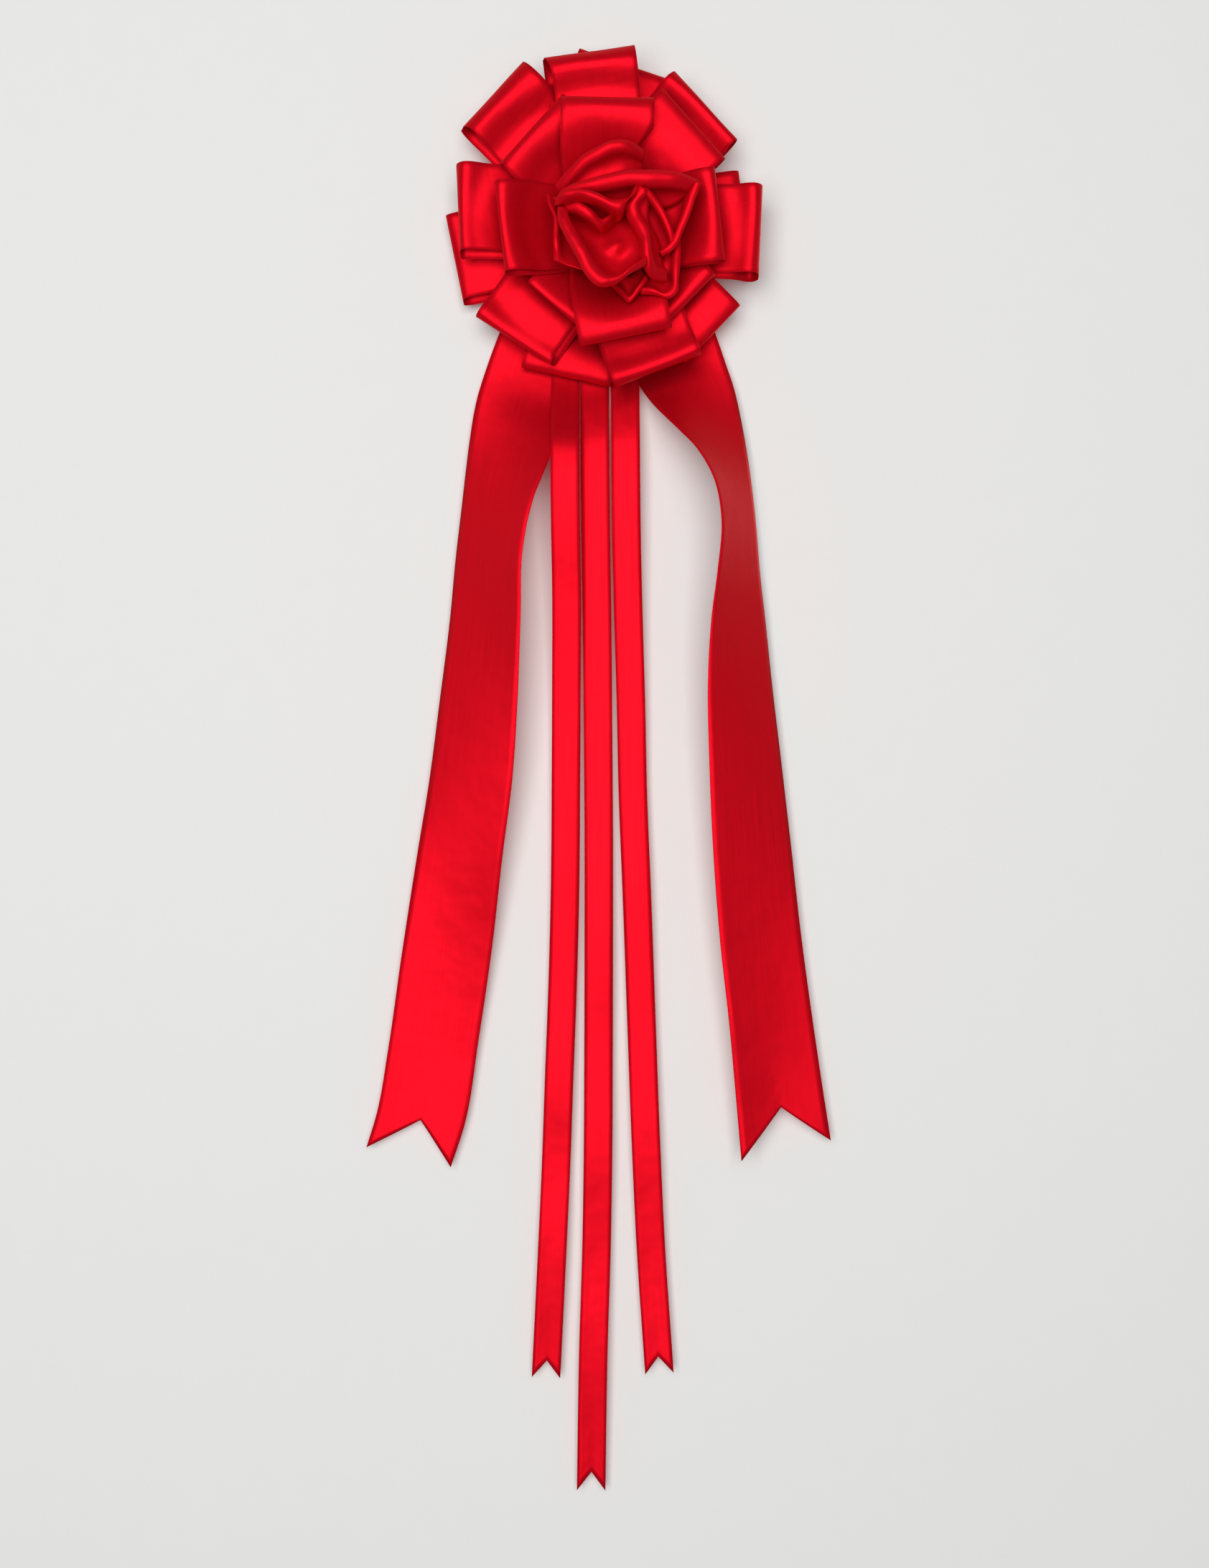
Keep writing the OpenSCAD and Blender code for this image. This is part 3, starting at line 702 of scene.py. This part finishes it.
hang("wide_tail_left", WIDE_LEFT_OUTER, WIDE_LEFT_INNER, WIDE, 15, 0.042, 1.5, 530)
hang("wide_tail_right", WIDE_RIGHT_OUTER, WIDE_RIGHT_INNER, WIDE, 15, 0.047, 1.5, 540)
for name, length in (("narrow_tail_left", 625), ("narrow_tail_middle", 690), ("narrow_tail_right", 620)):
    left, right = narrow_edges(NARROW_LINES[name])
    hang(name, left, right, NARROW, 7, 0.015, 0.5, length)

# %% [markdown]
# The rose is wide ribbon folded round a bud, fold on fold. Each fold has a rolled rim that catches the light
# and a dark hollow inside it. A fold is lofted: its rim is a curve through a few places, its hollow is
# another, and the foot is the rim drawn in towards the bud. These first helpers make curves and the sheet
# between them.

# %% Rose helpers
ROSE_AT = np.array([8.5, -9.5])
ROSE_FOOT = 25.5
FOLD_STEPS = 44
LOFT_STEPS = 34


def along_curve(points, count):
    return smooth_line(points, np.linspace(0, 1, count))


def loft(curves):
    """A smooth sheet through several curves, taken in order."""
    curves = [along_curve(c, FOLD_STEPS) for c in curves]
    return np.stack([smooth_line([c[i] for c in curves], np.linspace(0, 1, LOFT_STEPS))
                     for i in range(FOLD_STEPS)])


CREASE_DEPTH = 0.3
CREASE_ONE = (0.3, 0.16)
CREASE_TWO = (0.13, -0.24)


def creases(grid):
    """Small soft creases that cross the folds at a slant."""
    x, z = grid[..., 0], grid[..., 1]
    one = np.sin(CREASE_ONE[0] * x + CREASE_ONE[1] * z)
    two = np.sin(CREASE_TWO[0] * x + CREASE_TWO[1] * z + 1.0)
    return CREASE_DEPTH * one * two


def drawn_in(rim, share, height):
    rim = along_curve(rim, FOLD_STEPS)
    rim[:, :2] = ROSE_AT + (rim[:, :2] - ROSE_AT) * share
    rim[:, 2] = height
    return rim


print("helpers: along_curve, loft, creases, drawn_in")

# %% [markdown]
# One fold is a sheet through seven curves: foot, shoulder, outside of the rim, crown, inside of the rim,
# flank and hollow. The crown is broad and the flank steep, so the rim catches the light and the hollow stays
# dark. The foot is given as a share of the rim's distance from the bud, and roll is half the rim's width.

# %% Helper: one fold of the rose
RIM_DROP = 0.6
SHOULDER_AT = 0.6
FLANK_AT = 0.22
FLANK_DROP = 0.6
NO_ZERO = 0.001


def petal(name, node, rim, hollow, foot, roll, pucker=None):
    """A fold from its foot, over a rolled rim and down into its hollow, with a pucker where it's pinched."""
    rim = along_curve(rim, FOLD_STEPS)
    hollow = along_curve(hollow, FOLD_STEPS)
    outward = rim[:, :2] - hollow[:, :2]
    outward /= np.linalg.norm(outward, axis=1)[:, None] + NO_ZERO
    root = drawn_in(rim, foot, ROSE_FOOT)
    outside, crown, inside = rim.copy(), rim.copy(), rim.copy()
    outside[:, 2] -= roll * RIM_DROP
    crown[:, :2] -= outward * roll
    inside[:, :2] -= outward * roll * 2
    inside[:, 2] -= roll * RIM_DROP
    shoulder = mix(root, outside, SHOULDER_AT)
    flank = mix(inside, hollow, FLANK_AT)
    flank[:, 2] = mix(inside[:, 2], hollow[:, 2], FLANK_DROP)
    grid = loft([root, shoulder, outside, crown, inside, flank, hollow])
    grid[..., 2] += creases(grid)
    if pucker:
        x, z, height, spread = pucker
        grid[..., 2] += height * np.exp(-((grid[..., 0] - x)**2 + 2 * (grid[..., 1] - z)**2) / spread**2)
    piece, length = ribbon(name, grid, WIDE)
    edge = selvedge(name + "_selvedge", np.stack([grid[:, 0], grid[:, -1]], 1))
    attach(piece, "head")
    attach(edge, "head")
    if node:
        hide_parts(node)
    area = sum(p.area for p in piece.data.polygons) / MM**2
    print(name, "rim", round(length), "mm, cloth", round(area / WIDE), "mm of ribbon")


# %% [markdown]
# The outer folds lie behind and around the rest, close to the bands. Each fold has its rim, then its hollow,
# and then two numbers: the foot and the roll.

# %% Outer folds of the rose
petal("rose_back_fold", "rose_back_petal",
      [(-28, 15, 46), (-24, 19, 50), (-18, 24, 54), (-12, 29, 57), (-5, 32, 59), (2, 35, 60), (9, 36, 59),
       (15, 35, 56), (20, 33, 51)],
      [(-23, 8, 44), (-17, 11, 45), (-9, 13, 46), (0, 15, 47), (8, 17, 47), (15, 19, 45), (19, 23, 43)],
      0.66, 2.4)
petal("rose_left_fold", "rose_left_petal",
      [(-32, 12, 43), (-31, 6, 46), (-28, -2, 48), (-28, -10, 49), (-28, -17, 49), (-28, -25, 46)],
      [(-22, 9, 42), (-19, 2, 41), (-17, -6, 40), (-15, -14, 40), (-13, -21, 40), (-10, -30, 43)],
      0.63, 1)
petal("rose_lower_fold", "rose_lower_petal",
      [(39, -12, 46), (39, -24, 48), (38, -34, 49), (37, -42, 49), (33, -45, 49), (26, -43, 49),
       (18, -42, 47)],
      [(27, -14, 41), (27, -23, 41), (27, -29, 42), (25, -32, 42), (23, -33, 42), (20, -32, 42),
       (16, -31, 42)],
      0.6, 1.5)
petal("rose_bottom_fold", "rose_bottom_petal",
      [(1, -36, 45), (7, -42, 47), (12, -47, 49), (16, -43, 50), (22, -35, 49)],
      [(5, -28, 41), (9, -30, 41), (12, -32, 41), (15, -30, 41), (18, -27, 41)], 0.6, 1.2)

# %% [markdown]
# The inner folds stand further out and cover the feet of the outer ones. The front fold is the large cup at
# the lower left, with a pucker in its floor where the ribbon is pinched.

# %% Inner folds of the rose
petal("rose_right_fold", "rose_right_petal",
      [(49, 14, 58), (46, 6, 57), (43, -3, 56), (40, -10, 55), (37, -17, 54), (33, -21, 53), (29, -23, 51)],
      [(22, 11, 43), (25, 7, 41), (28, 2, 40), (30, -4, 39), (31, -9, 40), (30, -13, 42), (26, -18, 44)],
      0.6, 1)
petal("rose_inner_panel", None,
      [(17, 12, 62), (23, 8, 60), (28, 2, 58), (32, -5, 56), (35, -12, 54), (36, -19, 51)],
      [(15, 4, 48), (18, -2, 45), (22, -8, 43), (25, -15, 42), (28, -20, 42), (31, -24, 42)], 0.6, 1)
petal("rose_upper_fold", "rose_upper_petal",
      [(-27, 4, 52), (-25, 9, 56), (-19, 12, 60), (-10, 14, 63), (0, 16, 65), (10, 18, 66), (22, 18, 66),
       (34, 18, 64), (42, 17, 61), (49, 15, 57)],
      [(-21, 2, 47), (-16, 3, 48), (-10, 4, 48), (-3, 4, 48), (7, 4, 48), (16, 4, 47), (24, 4, 46),
       (31, 3, 46), (37, 5, 48), (44, 10, 51)], 0.62, 3.4)
petal("rose_inner_fold", "rose_inner_petal",
      [(-27, 1, 60), (-25, 5, 65), (-18, 7, 68), (-11, 6, 70), (-4, 4, 70), (3, 1, 69), (10, 2, 68),
       (14, 5, 67), (16, 11, 64)],
      [(-21, 0, 49), (-16, 0, 46), (-11, -1, 44), (-5, -3, 43), (2, -4, 42), (7, -3, 43), (10, 0, 46),
       (11, 5, 51)], 0.75, 2.2)
petal("rose_front_fold", "rose_front_petal",
      [(-25, 0, 62), (-25, -7, 66), (-21, -16, 69), (-15, -27, 71), (-9, -38, 72), (-3, -43, 72),
       (4, -42, 71), (12, -36, 69), (21, -30, 65)],
      [(-18, -1, 46), (-13, 0, 40), (-7, 1, 38), (0, 2, 38), (7, 3, 39), (14, 0, 41), (20, -9, 43),
       (20, -21, 48), (21, -27, 57)], 0.62, 1.6, pucker=(5, -18, 4, 5))

# %% [markdown]
# The bud's lip folds over inside the cup, and the centre fold runs down beside it from the top of the rose to
# its lower right.

# %% The bud and its centre fold
petal("rose_bud_lip", "rose_bud",
      [(-23, -1, 59), (-18, -1, 62), (-12, -4, 63), (-7, -7, 62), (-3, -10, 59), (1, -7, 57), (6, -1, 54)],
      [(-20, 3, 50), (-14, 3, 46), (-8, 1, 43), (-4, -1, 42), (-1, -2, 42), (3, -1, 43), (7, 2, 45)],
      0.8, 2)
petal("rose_centre_fold", None,
      [(17, 11, 63), (15, 6, 63), (11, 1, 62), (12, -4, 61), (15, -10, 62), (18, -16, 63), (19, -22, 64),
       (20, -28, 64), (22, -33, 62), (26, -36, 57), (32, -36, 53)],
      [(20, 9, 58), (22, 4, 56), (22, -2, 54), (23, -7, 52), (26, -12, 50), (28, -17, 49), (29, -22, 48),
       (30, -27, 47), (32, -30, 46)], 0.9, 2.6)

# %% [markdown]
# Behind the bow, a felt disc hides a round of card, a ribbon tab holds a small steel hanger, and drops of hot
# glue hold the stack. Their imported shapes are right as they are, so they only get their finishes.

# %% Finish the backing, the hanger and the glue
PLAIN = {"felt_back": felt, "backing_card": card, "hanging_tab": tab_satin, "hanger_plate": steel,
         "card_glue": glue, "tail_glue": glue, "stack_glue": glue, "rose_glue": glue}
for node, material in PLAIN.items():
    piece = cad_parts[node]
    for holder in piece.material_slots:
        holder.material = material
    if not piece.material_slots:
        piece.data.materials.append(material)
    print(node, "in", material.name)

# %% [markdown]
# Felt is matted fibre, and loose ends stand off its back. Geometry Nodes scatter small tapered fibres over
# the disc with a fixed seed. A hair system would also do this, but real geometry goes out with the model.

# %% Geometry Nodes: felt fibres
FIBRES_PER_M2 = 350000.0
FIBRE_LENGTH = 1.1
FIBRE_RADIUS_M = 0.00004
FIBRE_LEAN = 1.4
FIBRE_SPIN = 3.1
FIBRE_SEED = 7


def fibre_tree():
    tree, given, out = geometry_tree(
        "felt_fibres", [("Density", "NodeSocketFloat"), ("Length", "NodeSocketFloat"),
                        ("Seed", "NodeSocketInt"), ("Finish", "NodeSocketMaterial")])
    scatter = tree.nodes.new("GeometryNodeDistributePointsOnFaces")
    fibre = tree.nodes.new("GeometryNodeMeshCone")
    fibre.inputs["Vertices"].default_value = 3
    fibre.inputs["Radius Bottom"].default_value = FIBRE_RADIUS_M
    place = tree.nodes.new("GeometryNodeInstanceOnPoints")
    turn = tree.nodes.new("FunctionNodeRandomValue")
    turn.data_type = "FLOAT_VECTOR"
    turn.inputs[0].default_value = (-FIBRE_LEAN, -FIBRE_LEAN, -FIBRE_SPIN)
    turn.inputs[1].default_value = (FIBRE_LEAN, FIBRE_LEAN, FIBRE_SPIN)
    spin = tree.nodes.new("FunctionNodeEulerToRotation")
    turned = tree.nodes.new("FunctionNodeRotateRotation")
    wire(tree, (given.outputs["Geometry"], scatter.inputs["Mesh"]),
         (given.outputs["Density"], scatter.inputs["Density"]),
         (given.outputs["Seed"], scatter.inputs["Seed"]), (given.outputs["Seed"], turn.inputs["Seed"]),
         (given.outputs["Length"], fibre.inputs["Depth"]), (turn.outputs[0], spin.inputs[0]),
         (scatter.outputs["Rotation"], turned.inputs[0]), (spin.outputs[0], turned.inputs[1]),
         (scatter.outputs["Points"], place.inputs["Points"]),
         (fibre.outputs["Mesh"], place.inputs["Instance"]),
         (turned.outputs[0], place.inputs["Rotation"]))
    finish_tree(tree, given, out, place.outputs[0])
    return tree


print("fibres:", round(FIBRES_PER_M2 / MM_PER_M**2, 2), "to a square millimetre")

# %% [markdown]
# The fibres grow from a round patch on the felt's back, a little smaller than the felt, so that none stands
# off its edge. The patch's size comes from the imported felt, and its face looks away from the bow.

# %% Grow the felt's fibres
FELT_INSET_M = 0.0006
PATCH_SIDES = 48
felt_low, felt_high = (np.array(c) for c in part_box("felt_back"))
felt_r = (felt_high[0] - felt_low[0]) / 2 - FELT_INSET_M
turns = [math.tau * i / PATCH_SIDES for i in range(PATCH_SIDES)]
ring = [(felt_r * math.cos(turn), felt_high[1], felt_r * math.sin(turn)) for turn in turns]
felt_patch = bpy.data.meshes.new("felt_patch")
felt_patch.from_pydata(ring, [], [tuple(reversed(range(PATCH_SIDES)))])
fibres = grow(fibre_tree(), "felt_fibres", felt_patch,
              {"Density": FIBRES_PER_M2, "Length": FIBRE_LENGTH * MM, "Seed": FIBRE_SEED, "Finish": felt})
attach(fibres, "head")
print("fibre triangles:", sum(len(p.vertices) - 2 for p in fibres.data.polygons))

# %% [markdown]
# The bow hangs on a plain pale wall. The wall shows only its front, so that views from behind see the back,
# and it casts no shadow, so that the light behind it reaches the back too.

# %% Wall
WALL_COLOUR = (0.53, 0.53, 0.52)
WALL_HALF = 8.0
WALL_GAP = 0.001


def make_wall():
    material, tree, grain, shader, bump = start_material("wall_paint", GRAIN)
    coordinates = tree.nodes.new("ShaderNodeTexCoord")
    tree.links.new(coordinates.outputs["Object"], grain.inputs["Place"])
    grain.inputs["Grain Scale"].default_value = 400.0
    grain.inputs["Depth"].default_value = 0.015
    tinted(tree, grain.outputs["Tone"], WALL_COLOUR, shader.inputs["Base Color"])
    shader.inputs["Roughness"].default_value = 0.9
    bump.inputs["Distance"].default_value = 0.00002
    clear = tree.nodes.new("ShaderNodeBsdfTransparent")
    facing = tree.nodes.new("ShaderNodeNewGeometry")
    choose = tree.nodes.new("ShaderNodeMixShader")
    surface = tree.nodes["Material Output"].inputs["Surface"]
    wire(tree, (facing.outputs["Backfacing"], choose.inputs[0]), (shader.outputs[0], choose.inputs[1]),
         (clear.outputs[0], choose.inputs[2]), (choose.outputs[0], surface))
    corners = [(side * WALL_HALF, WALL_GAP, up * WALL_HALF)
               for side, up in ((-1, -1), (1, -1), (1, 1), (-1, 1))]
    mesh = bpy.data.meshes.new("wall")
    mesh.from_pydata(corners, [], [(0, 1, 2, 3)])
    mesh.materials.append(material)
    wall = bpy.data.objects.new("wall", mesh)
    bpy.context.scene.collection.objects.link(wall)
    wall.visible_shadow = False
    return wall


wall = make_wall()
print("wall normal", tuple(wall.data.polygons[0].normal))

# %% [markdown]
# The light is one broad soft source in front, a little to the left and above the middle of the bow, with an
# even grey surround. A second, weaker one behind the wall shows the felt and the hanger from the back.

# %% Lights
LIT_PLACE = (0, 0, -0.25)


def aim(thing, target):
    way = np.array(target) - np.array(thing.location)
    thing.rotation_euler = (math.acos(-unit(way)[2]), 0, math.atan2(way[1], way[0]) - math.pi / 2)


def area_light(name, size, power, place):
    lamp = bpy.data.lights.new(name, "AREA")
    lamp.size = size
    lamp.energy = power
    holder = bpy.data.objects.new(name, lamp)
    holder.location = place
    bpy.context.scene.collection.objects.link(holder)
    aim(holder, LIT_PLACE)
    print(name, size, "m square,", power, "W")


area_light("soft_window", 2.2, 108, (-0.25, -2.6, -0.05))
area_light("back_fill", 1.4, 42, (0.7, 2.0, 0.2))

# %% [markdown]
# The surround lights the shadows a little. What the camera sees past the wall is a lighter plain grey, so
# that a view from behind has a pale ground like the front one.

# %% Surround
SKY_STRENGTH = 0.2
GROUND_GREY = (0.72, 0.72, 0.7, 1)
world = bpy.data.worlds.new("surround")
world.use_nodes = True
sky = world.node_tree.nodes["Background"]
backdrop = world.node_tree.nodes.new("ShaderNodeBackground")
choose_sky = world.node_tree.nodes.new("ShaderNodeMixShader")
who_looks = world.node_tree.nodes.new("ShaderNodeLightPath")
sky.inputs["Color"].default_value = (1, 1, 1, 1)
sky.inputs["Strength"].default_value = SKY_STRENGTH
backdrop.inputs["Color"].default_value = GROUND_GREY
wire(world.node_tree, (who_looks.outputs["Is Camera Ray"], choose_sky.inputs[0]),
     (sky.outputs[0], choose_sky.inputs[1]), (backdrop.outputs[0], choose_sky.inputs[2]),
     (choose_sky.outputs[0], world.node_tree.nodes["World Output"].inputs["Surface"]))
bpy.context.scene.world = world
bpy.context.scene.view_settings.view_transform = "Standard"
print("surround strength", SKY_STRENGTH)

# %% [markdown]
# The camera looks straight at the wall from a little over a metre, about level with the middle of the whole
# bow. The lens leaves room all round it.

# %% Camera
SENSOR_MM = 36
LENS_MM = 47.4
CAMERA_PLACE = (-0.0012, -1.15, -0.3047)

lens = bpy.data.cameras.new("camera")
lens.sensor_width = SENSOR_MM
lens.lens = LENS_MM
camera = bpy.data.objects.new("camera", lens)
camera.location = CAMERA_PLACE
camera.rotation_euler = (math.pi / 2, 0, 0)
bpy.context.scene.collection.objects.link(camera)
bpy.context.scene.camera = camera
print("camera at", tuple(camera.location))
